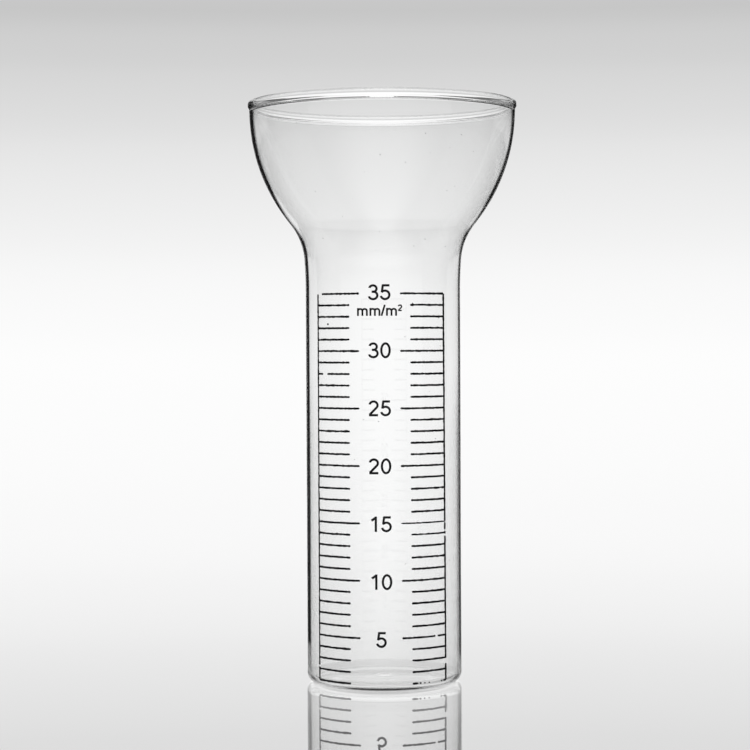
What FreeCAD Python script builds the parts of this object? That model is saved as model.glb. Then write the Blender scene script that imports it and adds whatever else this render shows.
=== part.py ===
import FreeCAD, Part
import math
import os
from FreeCAD import Vector

# Glass rain gauge: one blown vessel with a fired-on printed scale.
# Frame: +Z up along the vessel's axis, origin at the centre of the resting face,
# the scale faces -Y. All sizes in millimetres.

# ---- driving dimensions of the vessel ----
WALL = 1.0                    # wall of the tube, neck and bowl
TUBE_RADIUS = 21.0            # outside of the straight measuring tube
STRAIGHT_TOP = 106.1          # height where the tube begins to flare
FLARE_RADIUS = 115.0          # slow flare out of the tube, on the outside
FLARE_ANGLE = 4.2             # slope at the end of that flare, degrees from upright
NECK_RADIUS = 17.1            # tight curve of the neck, on the outside
NECK_ANGLE = 39.1             # slope at the end of the neck, degrees from upright
BOWL_RADIUS = 49.0            # rounded side of the bowl, on the outside
BEAD_RADIUS = 0.85            # fire-polished bead around the mouth
BEAD_PROUD = 0.41             # how far the bead stands out from the bowl's side
BEAD_HEIGHT = 156.52          # height where the bead's rounded top begins
BEAD_SIDE = 0.45              # upright stretch of the bead below that
BEAD_BLEND = 1.6              # radius of the hollow where the bead meets the wall

FOOT_CORNER = 2.5             # outside corner radius of the foot
FOOT_INNER_RADIUS = 14.0      # inner edge of the flat ring that the vessel rests on
PUSH_UP = 0.4                 # height of the hollow under the middle of the foot
FLOOR_THICKNESS = 1.2
FLOOR_CORNER = 1.7            # inside corner radius at the floor
SEAL_RADIUS = 2.2             # lens of glass left where the tube's end was closed
SEAL_HEIGHT = 0.45

# ---- driving dimensions of the printed scale ----
INK = 0.05                    # thickness of the fired enamel
LINE_WIDTH = 0.54             # thickness of every mark
SIDE_WIDTH = 0.64             # width of the two side lines
MARK_COUNT = 35               # one mark for each millimetre of rain
FIRST_MARK = 2.08             # height of mark 1
MARK_PITCH = 3.027            # tube height that one millimetre of rain fills
MAJOR_EVERY = 5               # every fifth mark is long and has a numeral
SIDE_LINE = 19.35             # arc length from the scale's middle to each side line
MINOR_END = 8.2               # arc length from the middle to the inner end of a mark
MAJOR_END = 5.45
FRONT = 270.0                 # direction that the scale faces, in degrees from +X

# ---- driving dimensions of the lettering ----
PEN = 0.62                    # stroke of the numerals
DIGIT_HEIGHT = 4.05
NUMERAL_SPREAD = 0.022        # the numerals are spaced this much wider, for each mark,
NUMERAL_LEVEL = 21.5          # and would sit level with a mark of this number
NUMERAL_LEAN = 0.012          # below that level they drift right by this much for each mark
DIGIT_ADVANCE = 3.15          # from one digit's cell to the next one's
UNIT_PEN = 0.50               # stroke of the unit text
UNIT_BASELINE = 99.1
X_HEIGHT = 2.08               # height of a small letter
LEG_PITCH = 1.19              # from one leg of an m to the next
UNIT_LETTERS = (-5.68, -2.37, 1.99)    # first leg of each m, from the scale's middle
SLASH_LEFT = 0.55
SLASH_RIGHT = 1.43
SLASH_HEIGHT = 2.9
POWER_PEN = 0.37              # stroke of the raised 2
POWER_SCALE = 0.39            # its size against a full digit
POWER_LEFT = 4.80
POWER_LIFT = 1.30             # its foot above the unit's baseline
PRISM_FRONT = -24.0           # the lettering is cut from prisms between these two planes
PRISM_BACK = -15.0

Z_AXIS = Vector(0, 0, 1)
ORIGIN = Vector(0, 0, 0)


# ---------------------------------------------------------------- the vessel

def section_point(radius, height):
    """Point of the vessel's section, in the XZ plane."""
    return Vector(radius, 0, height)


def arc_about(radius, height, size, start, end):
    """Arc about a centre in the section, between two directions in degrees from outward."""
    points = []
    for angle in (start, (start + end) / 2, end):
        a = math.radians(angle)
        points.append(section_point(radius + size * math.cos(a), height + size * math.sin(a)))
    return Part.Arc(*points)


def low_dome(edge_radius, edge_height, rise):
    """Shallow arc from a ring at the edge up to the axis."""
    size = (edge_radius ** 2 + rise ** 2) / (2 * rise)
    spread = math.degrees(math.asin(edge_radius / size))
    return arc_about(0, edge_height + rise - size, size, 90 - spread, 90)


def side_arcs(inward):
    """Flare, neck and bowl of the side, moved inward from the outside by a distance.

    Returns the three arcs and the radius and height where the bowl's side is upright."""
    flare_centre = TUBE_RADIUS + FLARE_RADIUS
    flare = math.radians(FLARE_ANGLE)
    neck = math.radians(NECK_ANGLE)
    neck_r = flare_centre - (FLARE_RADIUS - NECK_RADIUS) * math.cos(flare)
    neck_z = STRAIGHT_TOP + (FLARE_RADIUS - NECK_RADIUS) * math.sin(flare)
    bowl_r = neck_r - (NECK_RADIUS + BOWL_RADIUS) * math.cos(neck)
    bowl_z = neck_z + (NECK_RADIUS + BOWL_RADIUS) * math.sin(neck)
    arcs = [
        arc_about(flare_centre, STRAIGHT_TOP, FLARE_RADIUS + inward, 180, 180 - FLARE_ANGLE),
        arc_about(neck_r, neck_z, NECK_RADIUS + inward, 180 - FLARE_ANGLE, 180 - NECK_ANGLE),
        arc_about(bowl_r, bowl_z, BOWL_RADIUS - inward, -NECK_ANGLE, 0),
    ]
    return arcs, bowl_r + BOWL_RADIUS - inward, bowl_z


def bead_blend(bead_r, wall_r, outward):
    """Hollow arc between the upright wall and the bead; outward is 1 outside, -1 inside.

    Returns the arc, its height on the wall and its direction seen from the bead's centre."""
    centre_r = wall_r + outward * BEAD_BLEND
    reach = BEAD_RADIUS + BEAD_BLEND
    drop = math.sqrt(reach ** 2 - (centre_r - bead_r) ** 2)
    centre_z = BEAD_HEIGHT - BEAD_SIDE - drop
    direction = math.degrees(math.atan2(-drop, centre_r - bead_r))
    wall_side = 180 if outward > 0 else 0
    bead_side = direction + 180
    return arc_about(centre_r, centre_z, BEAD_BLEND, wall_side, bead_side), centre_z, direction


def line(a, b):
    return Part.LineSegment(a, b)


def glass_vessel():
    """Tube, neck, bowl, bead and closed foot, all one blown piece of glass."""
    bore = TUBE_RADIUS - WALL
    outer_arcs, bowl_out, bowl_top = side_arcs(0)
    inner_arcs, bowl_in, _ = side_arcs(WALL)
    bead_r = bowl_out + BEAD_PROUD - BEAD_RADIUS
    outer_blend, outer_z, outer_dir = bead_blend(bead_r, bowl_out, 1)
    inner_blend, inner_z, inner_dir = bead_blend(bead_r, bowl_in, -1)

    bead_foot = BEAD_HEIGHT - BEAD_SIDE
    bead_out = bead_r + BEAD_RADIUS
    bead_in = bead_r - BEAD_RADIUS

    foot_edge = TUBE_RADIUS - FOOT_CORNER
    floor_edge = bore - FLOOR_CORNER
    floor_rise = PUSH_UP
    floor_top = FLOOR_THICKNESS + floor_rise
    corner_z = FLOOR_THICKNESS + FLOOR_CORNER
    outline = [
        low_dome(FOOT_INNER_RADIUS, 0, PUSH_UP),
        line(section_point(FOOT_INNER_RADIUS, 0), section_point(foot_edge, 0)),
        arc_about(foot_edge, FOOT_CORNER, FOOT_CORNER, -90, 0),
        line(section_point(TUBE_RADIUS, FOOT_CORNER), section_point(TUBE_RADIUS, STRAIGHT_TOP)),
        *outer_arcs,
        line(section_point(bowl_out, bowl_top), section_point(bowl_out, outer_z)),
        outer_blend,
        arc_about(bead_r, bead_foot, BEAD_RADIUS, outer_dir, 0),
        line(section_point(bead_out, bead_foot), section_point(bead_out, BEAD_HEIGHT)),
        arc_about(bead_r, BEAD_HEIGHT, BEAD_RADIUS, 0, 180),
        line(section_point(bead_in, BEAD_HEIGHT), section_point(bead_in, bead_foot)),
        arc_about(bead_r, bead_foot, BEAD_RADIUS, 180, 360 + inner_dir),
        inner_blend,
        line(section_point(bowl_in, inner_z), section_point(bowl_in, bowl_top)),
        *inner_arcs,
        line(section_point(bore, STRAIGHT_TOP), section_point(bore, corner_z)),
        arc_about(floor_edge, corner_z, FLOOR_CORNER, 0, -90),
        low_dome(floor_edge, FLOOR_THICKNESS, floor_rise),
        line(section_point(0, floor_top), section_point(0, PUSH_UP)),
    ]
    edges = Part.sortEdges([curve.toShape() for curve in outline])[0]
    body = Part.Face(Part.Wire(edges)).revolve(ORIGIN, Z_AXIS, 360)
    return body.fuse(seal_lens(floor_top)).removeSplitter()


def seal_lens(floor_top):
    """Low lens of glass in the middle of the floor, where the blower closed the tube."""
    size = (SEAL_RADIUS ** 2 + SEAL_HEIGHT ** 2) / (2 * SEAL_HEIGHT)
    ball = Part.makeSphere(size, Vector(0, 0, floor_top + SEAL_HEIGHT - size))
    keep = Part.makeCylinder(SEAL_RADIUS, FLOOR_THICKNESS, Vector(0, 0, PUSH_UP + 0.5 * FLOOR_THICKNESS))
    return ball.common(keep)


# ------------------------------------------------------- marks and side lines

def arc_to_degrees(arc_length):
    return math.degrees(arc_length / TUBE_RADIUS)


def printed_bar(start, end, bottom, top):
    """Layer of ink on the tube between two arc lengths and two heights."""
    corners = [
        section_point(TUBE_RADIUS, bottom),
        section_point(TUBE_RADIUS + INK, bottom),
        section_point(TUBE_RADIUS + INK, top),
        section_point(TUBE_RADIUS, top),
    ]
    face = Part.Face(Part.makePolygon(corners + corners[:1]))
    face.rotate(ORIGIN, Z_AXIS, FRONT + arc_to_degrees(start))
    return face.revolve(ORIGIN, Z_AXIS, arc_to_degrees(end - start))


def mark_height(number):
    return FIRST_MARK + MARK_PITCH * (number - 1)


def mark_pair(number, inner_end):
    """The two halves of one mark, each from its side line towards the middle."""
    outer_end = SIDE_LINE - SIDE_WIDTH / 2
    bottom = mark_height(number) - LINE_WIDTH / 2
    top = bottom + LINE_WIDTH
    left = printed_bar(-outer_end, -inner_end, bottom, top)
    right = printed_bar(inner_end, outer_end, bottom, top)
    return [left, right]


def side_line(side):
    """Upright line that the outer ends of the marks stand on; side is -1 left, 1 right."""
    middle = side * SIDE_LINE
    bottom = mark_height(1) - LINE_WIDTH / 2
    top = mark_height(MARK_COUNT) + LINE_WIDTH / 2
    return printed_bar(middle - SIDE_WIDTH / 2, middle + SIDE_WIDTH / 2, bottom, top)


# ----------------------------------------------------------------- lettering

class Pen:
    """Draws strokes of one width as prisms along Y, in a cell at a place and scale."""

    def __init__(self, x, z, width=PEN, scale=1.0):
        self.x = x
        self.z = z
        self.half = width / 2
        self.scale = scale

    def place(self, x, z):
        return Vector(self.x + self.scale * x, PRISM_FRONT, self.z + self.scale * z)

    def prism(self, face):
        return face.extrude(Vector(0, PRISM_BACK - PRISM_FRONT, 0))

    def oval(self, centre, rx, rz):
        across = centre + Vector(rx, 0, 0)
        up = centre + Vector(0, 0, rz)
        if rx >= rz:
            curve = Part.Ellipse(across, up, centre)
        else:
            curve = Part.Ellipse(up, across, centre)
        return self.prism(Part.Face(Part.Wire([curve.toShape()])))

    def ring(self, x, z, rx, rz):
        """Closed stroke along an oval centre line with the two half sizes given."""
        centre = self.place(x, z)
        rx = rx * self.scale
        rz = rz * self.scale
        outside = self.oval(centre, rx + self.half, rz + self.half)
        return outside.cut(self.oval(centre, rx - self.half, rz - self.half))

    def bow(self, x, z, rx, rz, start, end):
        """Part of a ring between two directions, in degrees anticlockwise from the right."""
        base = self.place(x, z)
        forward = Vector(0, -1, 0)
        depth = PRISM_BACK - PRISM_FRONT
        reach = 2 * self.scale * max(rx, rz)
        sector = Part.makeCylinder(reach, depth, base + forward * -depth, forward, end - start)
        # A part cylinder about this axis starts straight down and opens to the right.
        sector.rotate(base, forward, start + 90)
        return self.ring(x, z, rx, rz).common(sector)

    def bar(self, x0, z0, x1, z1):
        """Straight stroke with square ends."""
        a = self.place(x0, z0)
        b = self.place(x1, z1)
        along = (b - a).normalize()
        side = Vector(-along.z * self.half, 0, along.x * self.half)
        corners = [a + side, a - side, b - side, b + side]
        return self.prism(Part.Face(Part.makePolygon(corners + corners[:1])))


# Each digit is drawn in a cell DIGIT_ADVANCE wide, from its lower left corner. The
# numbers place the middle of each stroke.

def digit_zero(pen):
    return [pen.ring(1.555, 2.025, 1.09, 1.80)]


def digit_one(pen):
    stem = pen.bar(1.885, 0.0, 1.885, 4.05)
    flag = pen.bar(1.84, 3.74, 0.72, 2.96)
    return [stem, flag]


def digit_two(pen):
    hook = pen.bow(1.50, 2.85, 1.05, 0.975, -40, 170)
    slope = pen.bar(2.32, 2.24, 0.42, 0.32)
    foot = pen.bar(0.28, 0.225, 2.68, 0.225)
    return [hook, slope, foot]


def digit_three(pen):
    upper = pen.bow(1.47, 2.975, 0.95, 0.85, -90, 168)
    lower = pen.bow(1.50, 1.21, 1.13, 0.985, -168, 90)
    tongue = pen.bar(1.12, 2.16, 1.60, 2.16)
    return [upper, lower, tongue]


def digit_five(pen):
    bowl = pen.bow(1.50, 1.33, 1.13, 1.105, -167, 143)
    stem = pen.bar(0.95, 4.03, 0.66, 1.96)
    top = pen.bar(0.78, 3.825, 2.68, 3.825)
    return [bowl, stem, top]


DIGITS = {"0": digit_zero, "1": digit_one, "2": digit_two, "3": digit_three, "5": digit_five}


def letter_m(first_leg):
    """Small m with square feet and two arches."""
    pen = Pen(first_leg, UNIT_BASELINE, UNIT_PEN)
    arch_rx = LEG_PITCH / 2
    arch_rz = 0.55
    spring = X_HEIGHT - UNIT_PEN / 2 - arch_rz
    strokes = [pen.bar(0, 0, 0, X_HEIGHT)]
    for leg in (1, 2):
        strokes.append(pen.bow(LEG_PITCH * leg - arch_rx, spring, arch_rx, arch_rz, 0, 180))
        strokes.append(pen.bar(LEG_PITCH * leg, 0, LEG_PITCH * leg, spring))
    return strokes


def joined(strokes):
    """One prism from strokes that overlap."""
    if len(strokes) == 1:
        return strokes[0]
    return strokes[0].fuse(strokes[1:]).removeSplitter()


def printed(glyphs):
    """The layer of ink that glyph prisms leave on the tube, one solid for each glyph."""
    bounds = Part.makeCompound(glyphs).BoundBox
    foot = Vector(0, 0, bounds.ZMin - 1)
    height = bounds.ZLength + 2
    outside = Part.makeCylinder(TUBE_RADIUS + INK, height, foot)
    layer = outside.cut(Part.makeCylinder(TUBE_RADIUS, height, foot))
    solids = []
    for glyph in glyphs:
        solids += glyph.common(layer).Solids
    return Part.makeCompound(solids)


def numeral(number):
    """A numeral, centred on the scale and close to level with its own mark."""
    text = str(number)
    lean = NUMERAL_LEAN * max(0, NUMERAL_LEVEL - number)
    left = lean - DIGIT_ADVANCE * len(text) / 2
    bottom = mark_height(number) - DIGIT_HEIGHT / 2
    bottom += NUMERAL_SPREAD * (number - NUMERAL_LEVEL)
    glyphs = []
    for place, digit in enumerate(text):
        strokes = DIGITS[digit](Pen(left + DIGIT_ADVANCE * place, bottom))
        glyphs.append(joined(strokes))
    return printed(glyphs)


def unit_label():
    """Millimetres for each square metre, below the highest numeral."""
    glyphs = [joined(letter_m(first_leg)) for first_leg in UNIT_LETTERS]
    slash = Pen(0, UNIT_BASELINE, UNIT_PEN).bar(SLASH_LEFT, 0, SLASH_RIGHT, SLASH_HEIGHT)
    power = digit_two(Pen(POWER_LEFT, UNIT_BASELINE + POWER_LIFT, POWER_PEN, POWER_SCALE))
    glyphs.append(slash)
    glyphs.append(joined(power))
    return printed(glyphs)


# ------------------------------------------------------------------ assembly

def main():
    nodes = {
        "glass_vessel": glass_vessel(),
        "scale_line_left": side_line(-1),
        "scale_line_right": side_line(1),
    }
    minor = []
    major = []
    for number in range(1, MARK_COUNT + 1):
        if number % MAJOR_EVERY:
            minor += mark_pair(number, MINOR_END)
        else:
            major += mark_pair(number, MAJOR_END)
            nodes[f"numeral_{number:02d}"] = numeral(number)
    nodes["scale_minor_marks"] = Part.makeCompound(minor)
    nodes["scale_major_marks"] = Part.makeCompound(major)
    nodes["unit_label"] = unit_label()

    os.makedirs("parts", exist_ok=True)
    for name, shape in nodes.items():
        shape.exportStep(f"parts/{name}.step")
        print(name, "solids", len(shape.Solids), "valid", shape.isValid(), "volume", round(shape.Volume, 3))


main()
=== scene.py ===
import math
import bpy
from mathutils import Euler, Matrix, Vector, noise


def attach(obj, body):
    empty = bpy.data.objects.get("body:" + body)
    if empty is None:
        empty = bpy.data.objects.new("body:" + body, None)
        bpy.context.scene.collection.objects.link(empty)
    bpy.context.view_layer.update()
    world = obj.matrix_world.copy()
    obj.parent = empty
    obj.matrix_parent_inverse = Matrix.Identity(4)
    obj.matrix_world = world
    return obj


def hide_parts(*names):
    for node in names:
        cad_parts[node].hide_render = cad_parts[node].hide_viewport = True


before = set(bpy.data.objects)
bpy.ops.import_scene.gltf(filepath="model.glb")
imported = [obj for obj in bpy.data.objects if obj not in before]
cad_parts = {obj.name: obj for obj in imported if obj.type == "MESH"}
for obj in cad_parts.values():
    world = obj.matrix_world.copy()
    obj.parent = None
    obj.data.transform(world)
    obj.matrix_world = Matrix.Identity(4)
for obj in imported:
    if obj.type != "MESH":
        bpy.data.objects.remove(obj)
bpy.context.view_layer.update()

MM = 0.001

# ---- the vessel's section, in millimetres, as the CAD part has it ----
WALL = 1.0
TUBE_R = 21.0
STRAIGHT_TOP = 106.1
FLARE_R = 115.0
FLARE_ANGLE = 4.2
NECK_R = 17.1
NECK_ANGLE = 39.1
BOWL_R = 49.0
BEAD_R = 0.85
BEAD_PROUD = 0.41
BEAD_Z = 156.52
BEAD_SIDE = 0.45
BEAD_BLEND = 1.6
FOOT_CORNER = 2.5
FOOT_INNER_R = 14.0
PUSH_UP = 0.4
FLOOR_THICKNESS = 1.2
FLOOR_CORNER = 1.7
SEAL_R = 2.2
SEAL_HEIGHT = 0.45

# ---- the printed scale, in millimetres ----
INK_IN = 21.004          # radii between which the ink lies, just clear of the glass
INK_OUT = 21.04
LINE_WIDTH = 0.54
SIDE_WIDTH = 0.64
MARK_COUNT = 35
FIRST_MARK = 2.08
MARK_PITCH = 3.027
SIDE_LINE = 19.35
MINOR_END = 8.2
MAJOR_END = 5.45

# ---- how finely the vessel's mesh follows its section ----
AROUND = 288             # flats around the vessel
RING_STEP = 2.5          # mm between rings on a straight wall
CORNER_STEP = 5.0        # degrees between rings round the foot's corners
FLARE_STEP = 0.6         # and round the other curves
NECK_STEP = 1.5
BOWL_STEP = 1.0
BLEND_STEP = 6.0
BEAD_STEP = 8.0
FLOOR_RINGS = 30         # rings on the floor inside
FLAT_RING = 2.0          # mm from the foot's corner to the ring that keeps its flat face flat
SAME_POINT = 0.01        # points of the section nearer than this are one point


# ------------------------------------------------------------------ camera

FOCAL = 103.85           # mm on a 36 mm sensor
CAMERA_DISTANCE = 589.0 * MM
CAMERA_HEIGHT = 93.16 * MM
CAMERA_AZIMUTH = math.radians(2.8)
CAMERA_SHIFT_LEFT = 2.25 * MM
CAMERA_PITCH = math.radians(0.967)
CAMERA_ROLL = math.radians(-0.26)


def make_camera():
    data = bpy.data.cameras.new("camera")
    data.lens = FOCAL
    data.sensor_width = 36.0
    data.clip_start = 0.01
    data.clip_end = 5000.0
    camera = bpy.data.objects.new("camera", data)
    bpy.context.scene.collection.objects.link(camera)
    sine, cosine = math.sin(CAMERA_AZIMUTH), math.cos(CAMERA_AZIMUTH)
    back = Vector((sine, -cosine, 0)) * CAMERA_DISTANCE
    left = Vector((cosine, sine, 0)) * -CAMERA_SHIFT_LEFT
    camera.location = back + left + Vector((0, 0, CAMERA_HEIGHT))
    turn = Euler((math.pi / 2 - CAMERA_PITCH, 0, CAMERA_AZIMUTH)).to_matrix()
    roll = Matrix.Rotation(CAMERA_ROLL, 3, "Z")
    camera.rotation_euler = (turn @ roll).to_euler()
    bpy.context.scene.camera = camera


# --------------------------------------------------------------- materials

def new_material(name):
    material = bpy.data.materials.new(name)
    material.use_nodes = True
    tree = material.node_tree
    tree.nodes.clear()
    output = tree.nodes.new("ShaderNodeOutputMaterial")
    return material, tree, output


def add(tree, kind, values=None, **settings):
    """A node with its settings, and its inputs' values by name."""
    node = tree.nodes.new(kind)
    for key, value in settings.items():
        setattr(node, key, value)
    for key, value in (values or {}).items():
        node.inputs[key].default_value = value
    return node


def math_node(tree, operation, a, b=0.0):
    node = add(tree, "ShaderNodeMath", operation=operation)
    for socket, value in zip(node.inputs, (a, b)):
        if isinstance(value, (int, float)):
            socket.default_value = value
        else:
            tree.links.new(value, socket)
    return node.outputs[0]


def multiply(tree, first, *others):
    for value in others:
        first = math_node(tree, "MULTIPLY", first, value)
    return first


def remainder(tree, share):
    """What is left of 1."""
    return math_node(tree, "SUBTRACT", 1.0, share)


def smooth_step(tree, value, low, high):
    """0 up to low, 1 from high on, and a soft change between; low may be the greater."""
    node = add(tree, "ShaderNodeMapRange", interpolation_type="SMOOTHSTEP")
    node.inputs["From Min"].default_value = low
    node.inputs["From Max"].default_value = high
    tree.links.new(value, node.inputs["Value"])
    return node.outputs["Result"]


def mix_shaders(tree, share, first, second):
    """The first shader where share is 0, the second where it is 1."""
    node = add(tree, "ShaderNodeMixShader")
    for socket, value in zip(node.inputs, (share, first, second)):
        tree.links.new(value, socket)
    return node.outputs["Shader"]


def noise_texture(tree, place, scale, detail):
    node = add(tree, "ShaderNodeTexNoise", {"Scale": scale, "Detail": detail})
    tree.links.new(place, node.inputs["Vector"])
    return node.outputs["Fac"]


WAVE_STRETCH = (1.0, 1.0, 0.25)      # the glass was drawn upwards, and so were its waves
GREASE = 0.012           # roughness of the faint film on the glass, at its thickest
DUST_SIZE = 0.021        # radius of a dust speck, as a share of the dust pattern's cells
LONG_PATH = 7.5          # surfaces met before light counts as caught in the glass
ROOM_AVERAGE = 0.62      # brightness that stands in for the caught light


def clean_glass(tree, place):
    stretch = add(tree, "ShaderNodeMapping", {"Scale": WAVE_STRETCH})
    tree.links.new(place, stretch.inputs["Vector"])
    waves = noise_texture(tree, stretch.outputs["Vector"], 55.0, 1.0)
    bump = add(tree, "ShaderNodeBump", {"Strength": 0.12, "Distance": 0.0004})
    tree.links.new(waves, bump.inputs["Height"])
    rough = multiply(tree, noise_texture(tree, place, 240.0, 4.0), GREASE)
    glass = add(tree, "ShaderNodeBsdfPrincipled", {
        "Base Color": (0.992, 0.994, 0.993, 1.0),
        "IOR": 1.473,
        "Transmission Weight": 1.0,
    })
    tree.links.new(rough, glass.inputs["Roughness"])
    tree.links.new(bump.outputs["Normal"], glass.inputs["Normal"])
    return glass.outputs["BSDF"]


def dust_places(tree, place):
    """1 on the dust specks, 0 beside them."""
    cells = add(tree, "ShaderNodeTexVoronoi", {"Scale": 170.0})
    tree.links.new(place, cells.inputs["Vector"])
    return math_node(tree, "LESS_THAN", cells.outputs["Distance"], DUST_SIZE)


def glass_material():
    material, tree, output = new_material("blown_glass")
    place = add(tree, "ShaderNodeTexCoord").outputs["Object"]
    dust = add(tree, "ShaderNodeBsdfPrincipled", {
        "Base Color": (0.10, 0.10, 0.10, 1.0),
        "Roughness": 0.8,
    })
    glass = clean_glass(tree, place)
    surface = mix_shaders(tree, dust_places(tree, place), glass, dust.outputs["BSDF"])
    # Shadows of clear glass are light.
    rays = add(tree, "ShaderNodeLightPath")
    clear = add(tree, "ShaderNodeBsdfTransparent", {"Color": (0.96, 0.96, 0.96, 1.0)})
    surface = mix_shaders(tree, rays.outputs["Is Shadow Ray"], surface, clear.outputs["BSDF"])
    # Light caught inside the glass for long is taken as the room's own average.
    caught = math_node(tree, "GREATER_THAN", rays.outputs["Ray Depth"], LONG_PATH)
    average = add(tree, "ShaderNodeEmission", {"Color": (ROOM_AVERAGE, ROOM_AVERAGE, ROOM_AVERAGE, 1.0)})
    surface = mix_shaders(tree, caught, surface, average.outputs["Emission"])
    tree.links.new(surface, output.inputs["Surface"])
    material.cycles.emission_sampling = "NONE"
    return material


def enamel_material():
    """Fired ink: nearly black, dull, finely grained and a little uneven in tone."""
    material, tree, output = new_material("fired_black_enamel")
    link = tree.links.new
    place = add(tree, "ShaderNodeTexCoord").outputs["Object"]
    grain = noise_texture(tree, place, 2600.0, 3.0)
    tone = add(tree, "ShaderNodeValToRGB")
    thick, thin = tone.color_ramp.elements
    thick.position = 0.35
    thick.color = (0.004, 0.004, 0.005, 1)
    thin.position = 0.75
    thin.color = (0.020, 0.020, 0.022, 1)
    link(noise_texture(tree, place, 180.0, 2.0), tone.inputs["Fac"])
    rough = add(tree, "ShaderNodeMapRange", {"To Min": 0.38, "To Max": 0.62})
    link(grain, rough.inputs["Value"])
    bump = add(tree, "ShaderNodeBump", {"Strength": 0.5, "Distance": 0.00002})
    link(grain, bump.inputs["Height"])
    ink = add(tree, "ShaderNodeBsdfPrincipled", {"IOR": 1.5, "Specular IOR Level": 0.12})
    link(tone.outputs["Color"], ink.inputs["Base Color"])
    link(rough.outputs["Result"], ink.inputs["Roughness"])
    link(bump.outputs["Normal"], ink.inputs["Normal"])
    link(ink.outputs["BSDF"], output.inputs["Surface"])
    return material


MIRROR_SHARE = 0.85      # the floor's mirroring at a grazing angle
MIRROR_POWER = 1.3       # and how fast it falls off as the angle grows
MIRROR_START = (0.01, 0.05)          # it fades out again towards the horizon, by this sine


def mirror_share(tree, steepness):
    """How much the floor mirrors, for light at an angle whose sine is given."""
    share = math_node(tree, "POWER", remainder(tree, steepness), MIRROR_POWER)
    return multiply(tree, share, MIRROR_SHARE, smooth_step(tree, steepness, *MIRROR_START))


def floor_material():
    """Glossy board: what lies under it shows through, and it mirrors more at a low angle."""
    material, tree, output = new_material("pale_acrylic_floor")
    link = tree.links.new
    place = add(tree, "ShaderNodeTexCoord").outputs["Object"]
    rough = add(tree, "ShaderNodeMapRange", {"To Min": 0.002, "To Max": 0.012})
    link(noise_texture(tree, place, 30.0, 3.0), rough.inputs["Value"])
    mirror = add(tree, "ShaderNodeBsdfAnisotropic", {"Color": (1, 1, 1, 1)})
    link(rough.outputs["Result"], mirror.inputs["Roughness"])
    board = add(tree, "ShaderNodeBsdfTransparent")
    facing = add(tree, "ShaderNodeLayerWeight", {"Blend": 0.5})
    share = mirror_share(tree, remainder(tree, facing.outputs["Facing"]))
    link(mix_shaders(tree, share, board.outputs["BSDF"], mirror.outputs["BSDF"]), output.inputs["Surface"])
    return material


# ------------------------------------------------------------------ meshes

def mesh_object(name, points, faces, material):
    mesh = bpy.data.meshes.new(name)
    mesh.from_pydata(points, [], faces)
    mesh.validate()
    mesh.update()
    mesh.materials.append(material)
    piece = bpy.data.objects.new(name, mesh)
    bpy.context.scene.collection.objects.link(piece)
    return piece


def arc(radius, height, size, start, end, step):
    """Points on an arc of the section, between two directions in degrees from outward."""
    count = max(2, math.ceil(abs(end - start) / step))
    points = []
    for i in range(count + 1):
        a = math.radians(start + (end - start) * i / count)
        points.append((radius + size * math.cos(a), height + size * math.sin(a)))
    return points


def dome(edge_r, edge_z, rise, steps=12):
    """Points from the edge of a shallow dome to its middle."""
    size = (edge_r ** 2 + rise ** 2) / (2 * rise)
    points = []
    for i in range(steps + 1):
        r = edge_r * (1 - i / steps)
        points.append((r, edge_z + rise - size + math.sqrt(size ** 2 - r ** 2)))
    return points


def side(inward):
    """Flare, neck and bowl, moved inward from the outside, and their radius at the top."""
    flare_centre = TUBE_R + FLARE_R
    flare, neck = math.radians(FLARE_ANGLE), math.radians(NECK_ANGLE)
    neck_r = flare_centre - (FLARE_R - NECK_R) * math.cos(flare)
    neck_z = STRAIGHT_TOP + (FLARE_R - NECK_R) * math.sin(flare)
    bowl_r = neck_r - (NECK_R + BOWL_R) * math.cos(neck)
    bowl_z = neck_z + (NECK_R + BOWL_R) * math.sin(neck)
    points = arc(flare_centre, STRAIGHT_TOP, FLARE_R + inward, 180, 180 - FLARE_ANGLE, FLARE_STEP)
    points += arc(neck_r, neck_z, NECK_R + inward, 180 - FLARE_ANGLE, 180 - NECK_ANGLE, NECK_STEP)
    points += arc(bowl_r, bowl_z, BOWL_R - inward, -NECK_ANGLE, 0, BOWL_STEP)
    return points, bowl_r + BOWL_R - inward


def blend(bead_r, wall_r, outward):
    """Hollow arc from the wall to the bead, and the bead's direction where it meets."""
    centre_r = wall_r + outward * BEAD_BLEND
    reach = BEAD_R + BEAD_BLEND
    drop = math.sqrt(reach ** 2 - (centre_r - bead_r) ** 2)
    direction = math.degrees(math.atan2(-drop, centre_r - bead_r))
    wall_side = 180 if outward > 0 else 0
    centre_z = BEAD_Z - BEAD_SIDE - drop
    points = arc(centre_r, centre_z, BEAD_BLEND, wall_side, direction + 180, BLEND_STEP)
    return points, direction


def rising(radius, bottom, top):
    """Points up a straight wall, its ends left out."""
    count = math.ceil((top - bottom) / RING_STEP)
    return [(radius, bottom + (top - bottom) * i / count) for i in range(1, count)]


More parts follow.
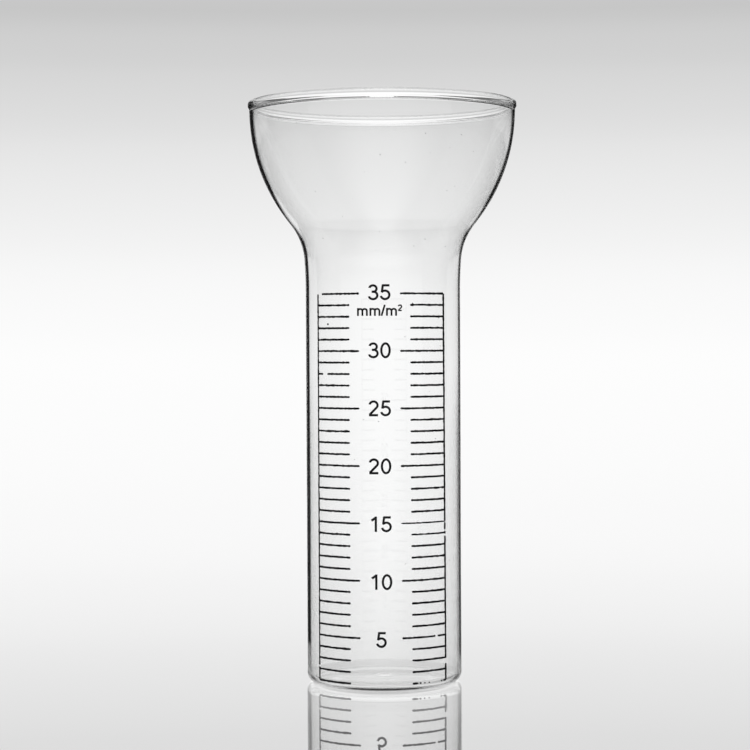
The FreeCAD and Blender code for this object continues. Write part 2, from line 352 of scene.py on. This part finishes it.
def vessel_section():
    """The closed section from the axis under the foot, up the outside, over and down inside."""
    bore = TUBE_R - WALL
    outer, bowl_out = side(0)
    inner, bowl_in = side(WALL)
    bead_r = bowl_out + BEAD_PROUD - BEAD_R
    outer_blend, outer_dir = blend(bead_r, bowl_out, 1)
    inner_blend, inner_dir = blend(bead_r, bowl_in, -1)
    foot = TUBE_R - FOOT_CORNER
    floor_r = bore - FLOOR_CORNER
    corner_z = FLOOR_THICKNESS + FLOOR_CORNER
    section = dome(FOOT_INNER_R, 0, PUSH_UP)[::-1]
    section.append((foot - FLAT_RING, 0))
    section += arc(foot, FOOT_CORNER, FOOT_CORNER, -90, 0, CORNER_STEP)
    section += rising(TUBE_R, FOOT_CORNER, STRAIGHT_TOP)
    section += outer
    section += outer_blend
    section += arc(bead_r, BEAD_Z - BEAD_SIDE, BEAD_R, outer_dir, 0, BEAD_STEP)
    section += arc(bead_r, BEAD_Z, BEAD_R, 0, 180, BEAD_STEP)
    section += arc(bead_r, BEAD_Z - BEAD_SIDE, BEAD_R, 180, 360 + inner_dir, BEAD_STEP)
    section += inner_blend[::-1]
    section += inner[::-1]
    section += rising(bore, corner_z, STRAIGHT_TOP)[::-1]
    section += arc(floor_r, corner_z, FLOOR_CORNER, 0, -90, CORNER_STEP)
    for r, z in dome(floor_r, FLOOR_THICKNESS, PUSH_UP, FLOOR_RINGS)[1:]:
        if r < SEAL_R:
            z += SEAL_HEIGHT * (1 + math.cos(math.pi * r / SEAL_R)) / 2
        section.append((r, z))
    return thinned(section)


def thinned(section):
    """The section without repeated points."""
    kept = section[:1]
    for point in section[1:]:
        if math.dist(point, kept[-1]) > SAME_POINT:
            kept.append(point)
    return kept


def lathe(name, section, material):
    """Turns a section from axis to axis about Z into a closed smooth mesh."""
    points = [(0, 0, section[0][1] * MM)]
    for r, z in section[1:-1]:
        for i in range(AROUND):
            a = math.tau * i / AROUND
            points.append((r * math.cos(a) * MM, r * math.sin(a) * MM, z * MM))
    points.append((0, 0, section[-1][1] * MM))
    faces = []
    rings = len(section) - 2
    for i in range(AROUND):
        j = (i + 1) % AROUND
        faces.append((0, 1 + j, 1 + i))
        for ring in range(rings - 1):
            low, high = 1 + ring * AROUND, 1 + (ring + 1) * AROUND
            faces.append((low + i, low + j, high + j, high + i))
        last = 1 + (rings - 1) * AROUND
        faces.append((last + i, last + j, len(points) - 1))
    piece = mesh_object(name, points, faces, material)
    piece.data.shade_smooth()
    return piece


# --------------------------------------------------------------- the print

SEED = 11                # picks one print out of many that are as uneven
WOBBLE_RATE = 1.7        # bumps in each mm of a printed edge, about
ROW_APART = 7.3          # far enough for each line to have bumps of its own
WANDER = 0.8             # how far a line strays, for a roughness of 1 mm
WANDER_RATE = 0.6        # and how often, against the edge's bumps
SWELL = 2.4              # how much its width changes, for a roughness of 1 mm
SWELL_RATE = 1.1         # and how often
SWELL_ROWS = 50          # rows between the bumps that move a line and those that widen it
END_WIDTH = 0.45         # share of the width at a line's very end
END_GROWTH = 3.0         # and what it gains in each mm from there, up to all of it


def wobble(value, row):
    """Smooth unevenness of a printed edge, about -1 to 1."""
    return noise.noise(Vector((value * WOBBLE_RATE, row * ROW_APART, SEED)))


class Print:
    """Collects bars of ink that lie on the tube, in arc length and height."""

    def __init__(self):
        self.points = []
        self.faces = []
        self.row = 0

    def corner(self, radius, s, z):
        a = s / TUBE_R - math.pi / 2
        self.points.append((radius * math.cos(a) * MM, radius * math.sin(a) * MM, z * MM))

    def ribbon(self, spine, widths):
        """A raised ribbon along a spine of (arc length, height) points, with its width at each."""
        first = len(self.points)
        count = len(spine)
        for i, ((s, z), width) in enumerate(zip(spine, widths)):
            ahead = spine[min(i + 1, count - 1)]
            behind = spine[max(i - 1, 0)]
            length = math.dist(ahead, behind)
            side_s = -(ahead[1] - behind[1]) / length * width / 2
            side_z = (ahead[0] - behind[0]) / length * width / 2
            for radius in (INK_IN, INK_OUT):
                self.corner(radius, s + side_s, z + side_z)
                self.corner(radius, s - side_s, z - side_z)
        for i in range(count - 1):
            a, b = first + 4 * i, first + 4 * (i + 1)
            self.faces.append((a + 2, b + 2, b + 3, a + 3))
            self.faces.append((a, a + 1, b + 1, b))
            self.faces.append((a, b, b + 2, a + 2))
            self.faces.append((a + 1, a + 3, b + 3, b + 1))
        last = first + 4 * (count - 1)
        self.faces.append((first, first + 2, first + 3, first + 1))
        self.faces.append((last, last + 1, last + 3, last + 2))

    def line(self, start, end, thick=LINE_WIDTH, rough=0.09, step=0.15):
        """An uneven printed line between two (arc length, height) points."""
        self.row += 1
        length = math.dist(start, end)
        count = max(2, round(length / step))
        spine = []
        widths = []
        for i in range(count + 1):
            t = i / count
            along = t * length
            shift = WANDER * rough * wobble(along * WANDER_RATE, self.row)
            s = start[0] + (end[0] - start[0]) * t + shift * (end[1] - start[1]) / length
            z = start[1] + (end[1] - start[1]) * t + shift * (end[0] - start[0]) / length
            width = thick + SWELL * rough * wobble(along * SWELL_RATE, self.row + SWELL_ROWS)
            blunt = min(1.0, END_WIDTH + END_GROWTH * min(along, length - along))
            spine.append((s, z))
            widths.append(width * blunt)
        self.ribbon(spine, widths)

    def piece(self, name, node, material):
        piece = mesh_object(name, self.points, self.faces, material)
        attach(piece, "root")
        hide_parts(node)
        return piece


def mark_height(number):
    return FIRST_MARK + MARK_PITCH * (number - 1)


# A side is -1 for the left half of the scale and 1 for the right one.
# Marks with breaks: (number, side), and the stretches of arc length that are printed.
BROKEN_MARKS = {
    (35, -1): [(MAJOR_END, 17.6)],
    (28, -1): [(MINOR_END, 15.5), (17.2, SIDE_LINE)],
    (5, 1): [(MAJOR_END, 15.4), (16.2, SIDE_LINE)],
    (1, 1): [
        (MINOR_END, 9.9), (10.2, 10.8), (11.6, 12.0), (13.0, 13.4), (17.3, 17.8), (18.2, SIDE_LINE),
    ],
}
THIN_MARKS = {(14, 1): 0.44, (15, 1): 0.40}      # (number, side), and the width
# Heights between which a side line has worn off.
LINE_GAPS = {
    -1: [(5.6, 6.0)],
    1: [(6.6, 7.85), (40.6, 41.1), (41.9, 42.2), (44.15, 44.4)],
}
LINE_SHARE = {-1: 0.95, 1: 1.10}     # width of each side line against the designed one
LEAN_LEVEL = 62.0        # height at which the right line is true
RIGHT_LEAN = 0.0045      # how far it strays right for each mm below that, and left above
MARK_LEAN = 0.005        # the same for the right marks' inner ends, but only below it
LONG_EVERY = 5           # each fifth mark is a long one
# Specks of ink, as arc length, height and size. Their edges are less rough than a line's.
SPECKS = [(-15.2, 97.0, 0.55), (8.95, 102.4, 0.28), (17.3, 98.65, 0.45)]
SPECK_ROUGH = 0.03
SPECK_STEP = 0.1


def line_place(way, z):
    """Arc length of a side line at a height."""
    return way * SIDE_LINE + (RIGHT_LEAN * (LEAN_LEVEL - z) if way > 0 else 0.0)


def marks(numbers, inner_end):
    ink = Print()
    for number in numbers:
        for way in (-1, 1):
            stretches = BROKEN_MARKS.get((number, way), [(inner_end, SIDE_LINE)])
            thick = THIN_MARKS.get((number, way), LINE_WIDTH)
            z = mark_height(number)
            drift = MARK_LEAN * max(0.0, LEAN_LEVEL - z) if way > 0 else 0.0
            for near, far in stretches:
                end = line_place(way, z) if far == SIDE_LINE else way * far + drift
                ink.line((way * near + drift, z), (end, z), thick)
    return ink


def side_line(way):
    ink = Print()
    bottom = mark_height(1)
    top = mark_height(MARK_COUNT)
    width = SIDE_WIDTH * LINE_SHARE[way]
    for low, high in LINE_GAPS[way] + [(top, top)]:
        ink.line((line_place(way, bottom), bottom), (line_place(way, low), low), width)
        bottom = high
    return ink


def build_print(material):
    major = marks(range(LONG_EVERY, MARK_COUNT + 1, LONG_EVERY), MAJOR_END)
    minor = marks([n for n in range(1, MARK_COUNT + 1) if n % LONG_EVERY], MINOR_END)
    for s, z, size in SPECKS:
        minor.line((s - size / 2, z), (s + size / 2, z), size, SPECK_ROUGH, SPECK_STEP)
    major.piece("long_marks", "scale_major_marks", material)
    minor.piece("short_marks", "scale_minor_marks", material)
    side_line(-1).piece("left_line", "scale_line_left", material)
    side_line(1).piece("right_line", "scale_line_right", material)
    for name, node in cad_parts.items():
        if name.startswith("numeral_") or name == "unit_label":
            node.data.materials.clear()
            node.data.materials.append(material)


# ------------------------------------------------------------------- stage

FLOOR_REACH = 1500.0     # metres from the vessel to the floor's far edge and to its sides
FLOOR_NEAR = -3.0        # and to its near edge, which is past the camera


def build_floor():
    points = [
        (-FLOOR_REACH, FLOOR_NEAR, 0),
        (FLOOR_REACH, FLOOR_NEAR, 0),
        (FLOOR_REACH, FLOOR_REACH, 0),
        (-FLOOR_REACH, FLOOR_REACH, 0),
    ]
    floor = mesh_object("floor", points, [(0, 1, 2, 3)], floor_material())


# The studio is painted by direction, in degrees: a height above the horizon, and an azimuth
# round to the right from straight behind the vessel. In a pair, a change begins at the first
# and is complete at the second.

# Brightness of the studio by height, as the camera sees it; below 0 is the floor.
SKY = [
    (-20.0, 0.66), (-10.4, 0.729), (-8.0, 0.835), (-6.0, 0.922), (-4.0, 0.957),
    (-1.5, 0.976), (0.0, 0.970), (2.3, 0.905), (5.1, 0.776), (7.0, 0.668),
    (8.0, 0.618), (8.9, 0.585), (9.9, 0.83), (12.0, 1.02), (40.0, 1.00),
]
SKY_SCALE = 2.0          # a colour ramp holds no more than 1, so it holds half

SIDE_SHADE = 0.22        # how much dimmer the sides of the room are than its ends
SIDES = (12.0, 60.0)     # where they are, to either side
CAMERA_END = (170.0, 110.0)          # where the end behind the camera gives way to them
SIDE_TOP_SHADE = 0.60    # how much dimmer still beside the top of the screen
RIGHT_OF_SCREEN = (8.0, 28.0)
LEFT_OF_SCREEN = (-14.0, -34.0)
SCREEN_TOP = (0.0, 7.0)

# Black flags stand beside the screen. Light bent through a single wall, or mirrored,
# comes from there, so the vessel's outlines are dark and the view through it stays pale.
FLAG_BLACK = 0.012       # brightness of the flags
FLAG_SOFT = 1.0          # width of their soft edges
LEFT_FLAG = (-34.0, -14.2)           # the azimuths that each covers
RIGHT_FLAG = (8.2, 23.0)
SIDE_FLAGS = (64.0, 115.0)           # and those of a further pair, for bent light only
FLAG_FEET = (-7.9, -8.15)
RIGHT_FOOT = 0.35        # the right flag reaches this much lower
FLAG_TOP = (8.5, 12.0)
FLOOR_GLOW = 0.80        # brightness of the floor at the flags' feet
FLAG_HEAD = 0.15         # and of the space above their tops
SIDE_DIM = 0.12          # share of its light that a side shows, seen mirrored, next to the flags
DIM_SIDES = (20.0, 34.0)
BRIGHTENING = (34.0, 150.0)          # it shows more and more of it towards the camera's end
ONE_WALL = 3.5           # light bent by fewer surfaces than this has crossed one wall
AT_LEAST_ONE = 0.5       # limits between whole counts
AT_LEAST_TWO = 1.5


def sky_ramp(tree, height):
    """Brightness of the surroundings at a height, from the stops above."""
    lowest = SKY[0][0]
    highest = SKY[-1][0]
    place = add(tree, "ShaderNodeMapRange", {"From Min": lowest, "From Max": highest})
    tree.links.new(height, place.inputs["Value"])
    ramp = add(tree, "ShaderNodeValToRGB")
    ramp.color_ramp.interpolation = "CARDINAL"
    stops = ramp.color_ramp.elements
    while len(stops) < len(SKY):
        stops.new(1.0)
    # A stop that is moved can change places with others, so the colours come last.
    for stop, (angle, _) in zip(stops, SKY):
        stop.position = (angle - lowest) / (highest - lowest)
    for stop, (_, value) in zip(stops, SKY):
        grey = value / SKY_SCALE
        stop.color = (grey, grey, grey, 1)
    tree.links.new(place.outputs["Result"], ramp.inputs["Fac"])
    return multiply(tree, ramp.outputs["Color"], SKY_SCALE)


def blend_values(tree, share, first, second):
    """first where share is 0, second where it is 1; None stands for a plain 1."""
    node = add(tree, "ShaderNodeMix", data_type="FLOAT")
    tree.links.new(share, node.inputs[0])
    for socket, value in ((node.inputs[2], first), (node.inputs[3], second)):
        if value is None:
            socket.default_value = 1.0
        else:
            tree.links.new(value, socket)
    return node.outputs[0]


def band(tree, value, low, high):
    """1 between low and high, 0 outside, with soft edges."""
    start = smooth_step(tree, value, low - FLAG_SOFT, low)
    return multiply(tree, start, smooth_step(tree, value, high + FLAG_SOFT, high))


class Direction:
    """Sockets that say where in the surroundings a ray ends."""

    def __init__(self, tree):
        place = add(tree, "ShaderNodeTexCoord")
        xyz = add(tree, "ShaderNodeSeparateXYZ")
        tree.links.new(place.outputs["Generated"], xyz.inputs["Vector"])
        self.x, y, self.z = xyz.outputs
        degrees = 180 / math.pi
        self.azimuth = multiply(tree, math_node(tree, "ARCTAN2", self.x, y), degrees)
        self.height = multiply(tree, math_node(tree, "ARCSINE", self.z), degrees)
        self.turned = math_node(tree, "ABSOLUTE", self.azimuth)


def plain_light(tree, way):
    """The studio without its flags: sky, and below it what shows through the floor."""
    above = sky_ramp(tree, math_node(tree, "ABSOLUTE", way.height))
    away = smooth_step(tree, way.turned, *CAMERA_END)
    sideways = multiply(tree, smooth_step(tree, way.turned, *SIDES), away)
    side_shade = remainder(tree, multiply(tree, sideways, SIDE_SHADE))
    right = smooth_step(tree, way.azimuth, *RIGHT_OF_SCREEN)
    left = smooth_step(tree, way.azimuth, *LEFT_OF_SCREEN)
    off_screen = math_node(tree, "MAXIMUM", right, left)
    high = multiply(tree, smooth_step(tree, way.height, *SCREEN_TOP), SIDE_TOP_SHADE)
    top_shade = multiply(tree, off_screen, away, high)
    sky = multiply(tree, above, multiply(tree, side_shade, remainder(tree, top_shade)))
    # The floor mirrors a share of the sky, and the rest of its brightness shows through it.
    share = mirror_share(tree, math_node(tree, "ABSOLUTE", way.z))
    through = math_node(tree, "SUBTRACT", sky_ramp(tree, way.height), multiply(tree, share, above))
    through = math_node(tree, "DIVIDE", through, remainder(tree, share))
    through = multiply(tree, math_node(tree, "MAXIMUM", through, 0.0), side_shade)
    below = math_node(tree, "LESS_THAN", way.z, 0.0)
    return blend_values(tree, below, sky, through)


def flag_light(tree, way, off_floor):
    """Brightness along the flags' height, the floor and the space above them included."""
    right_side = math_node(tree, "GREATER_THAN", way.x, 0.0)
    raised = math_node(tree, "ADD", way.height, multiply(tree, right_side, RIGHT_FOOT))
    foot_light = multiply(tree, smooth_step(tree, raised, *FLAG_FEET), FLOOR_GLOW)
    # Light that the floor has turned upwards finds the space above the flags bright.
    head = multiply(tree, off_floor, FLOOR_GLOW - FLAG_HEAD)
    head = math_node(tree, "ADD", head, FLAG_HEAD)
    top_light = multiply(tree, smooth_step(tree, way.height, *FLAG_TOP), head)
    brighter = math_node(tree, "MAXIMUM", foot_light, top_light)
    return math_node(tree, "MAXIMUM", brighter, FLAG_BLACK)


def light_kinds(tree):
    """Sockets that are 1 for light bent by one wall, for light mirrored last, and for light
    mirrored last after an earlier bounce, which is mostly the floor's."""
    rays = add(tree, "ShaderNodeLightPath")
    crossed = rays.outputs["Transmission Depth"]
    few = math_node(tree, "LESS_THAN", crossed, ONE_WALL)
    one_wall = multiply(tree, math_node(tree, "GREATER_THAN", crossed, AT_LEAST_ONE), few)
    # Light that was bent last counts as glossy too, and has to be taken off.
    glossy = rays.outputs["Is Glossy Ray"]
    mirrored = math_node(tree, "SUBTRACT", glossy, rays.outputs["Is Transmission Ray"])
    mirrored = multiply(tree, math_node(tree, "MAXIMUM", mirrored, 0.0), few)
    again = math_node(tree, "GREATER_THAN", rays.outputs["Ray Depth"], AT_LEAST_TWO)
    return one_wall, mirrored, multiply(tree, mirrored, again)


def build_world():
    """Soft studio surroundings: a pale screen behind, black flags beside it, pale elsewhere."""
    world = bpy.data.worlds.new("studio")
    bpy.context.scene.world = world
    world.use_nodes = True
    tree = world.node_tree
    tree.nodes.clear()
    way = Direction(tree)
    one_wall, mirrored, off_floor = light_kinds(tree)
    plain = plain_light(tree, way)
    flag = flag_light(tree, way, off_floor)
    left = band(tree, way.azimuth, *LEFT_FLAG)
    right = band(tree, way.azimuth, *RIGHT_FLAG)
    flags = math_node(tree, "MAXIMUM", left, right)
    all_flags = math_node(tree, "MAXIMUM", flags, band(tree, way.turned, *SIDE_FLAGS))
    near, far = BRIGHTENING
    side = add(tree, "ShaderNodeMapRange", {
        "From Min": near,
        "From Max": far,
        "To Min": SIDE_DIM,
        "To Max": 1.0,
    })
    tree.links.new(way.turned, side.inputs["Value"])
    beside = smooth_step(tree, way.turned, *DIM_SIDES)
    dimming = blend_values(tree, beside, None, side.outputs["Result"])
    seen_bent = blend_values(tree, all_flags, plain, flag)
    seen_mirrored = blend_values(tree, flags, multiply(tree, plain, dimming), flag)
    light = blend_values(tree, one_wall, plain, seen_bent)
    light = blend_values(tree, mirrored, light, seen_mirrored)
    background = add(tree, "ShaderNodeBackground")
    tree.links.new(light, background.inputs["Color"])
    output = add(tree, "ShaderNodeOutputWorld")
    tree.links.new(background.outputs["Background"], output.inputs["Surface"])


def main():
    bpy.context.scene.view_settings.view_transform = "Standard"
    make_camera()
    build_world()
    build_floor()
    glass = lathe("blown_vessel", vessel_section(), glass_material())
    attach(glass, "root")
    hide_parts("glass_vessel")
    build_print(enamel_material())


main()
